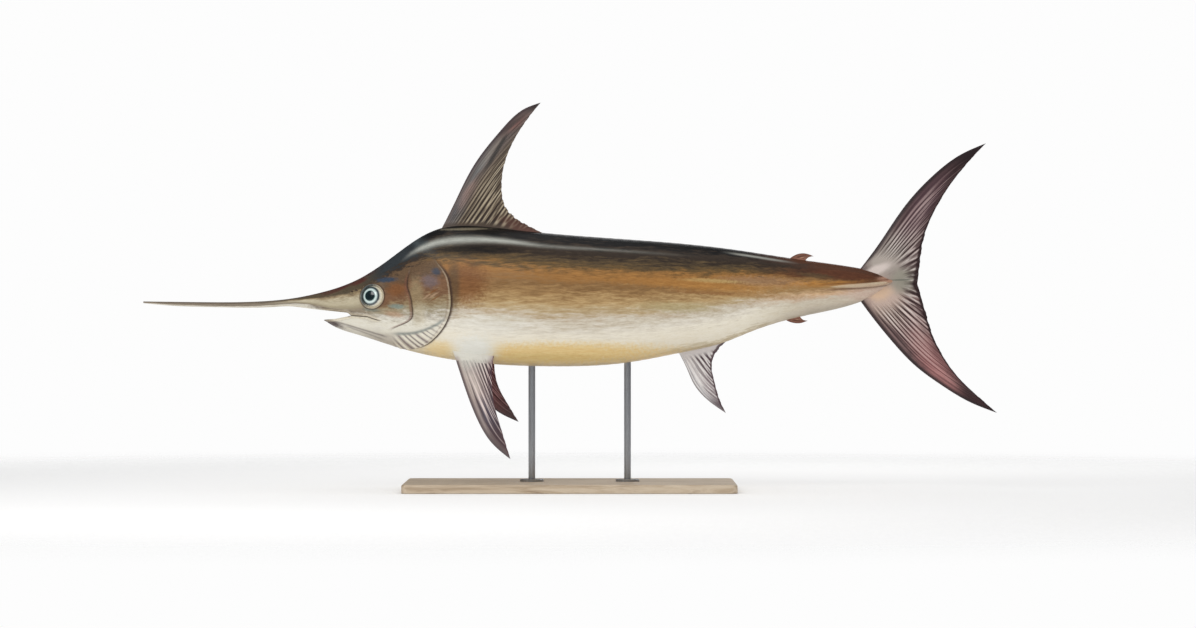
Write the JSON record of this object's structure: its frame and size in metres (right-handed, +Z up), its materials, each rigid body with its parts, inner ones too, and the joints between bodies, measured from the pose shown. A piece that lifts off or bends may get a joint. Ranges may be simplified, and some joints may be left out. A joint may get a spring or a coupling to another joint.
{
  "type": "swordfish",
  "caption": "Swordfish, life size: long flat bill, open jaws, sickle dorsal fin and crescent tail, held level over a flat base by slim rods. Still model, no joints.",
  "frame": {"origin": "centre of the object's box on the floor, under the fish's middle line, at the underside of the stand's base", "axes": "+Z up. +X towards the tail, so the bill points along -X. -Y is the fish's left side, which the picture shows"},
  "size_m": [3, 0.72, 1.361],
  "materials": {
    "skin_flank": "satin, moist",
    "skin_tail": "satin, moist",
    "skin_head": "satin, moist",
    "skin_jaw": "satin, moist",
    "bill_horn": "satin, fine-grained",
    "fin_dark": "satin, ribbed by the rays",
    "fin_pale": "satin, ribbed by the rays",
    "eye": "gloss, wet",
    "stand_wood": "stained dark, satin varnish",
    "stand_steel": "fine brushed"
  },
  "bodies": {
    "root": {"torso": "skin_flank", "tail": "skin_tail", "head": "skin_head", "lower_jaw": "skin_jaw", "bill": "bill_horn", "gill_cover_left": "skin_head", "gill_cover_right": "skin_head", "eye_left": "eye", "eye_right": "eye", "keel_left": "skin_tail", "keel_right": "skin_tail", "first_dorsal_fin": "fin_dark", "second_dorsal_fin": "fin_dark", "first_anal_fin": "fin_pale", "second_anal_fin": "fin_pale", "caudal_fin_upper": "fin_dark", "caudal_fin_lower": "fin_dark", "pectoral_fin_left": "fin_pale", "pectoral_fin_right": "fin_pale", "stand_base": "stand_wood", "stand_rod_front": "stand_steel", "stand_rod_rear": "stand_steel"}
  },
  "joints": []
}
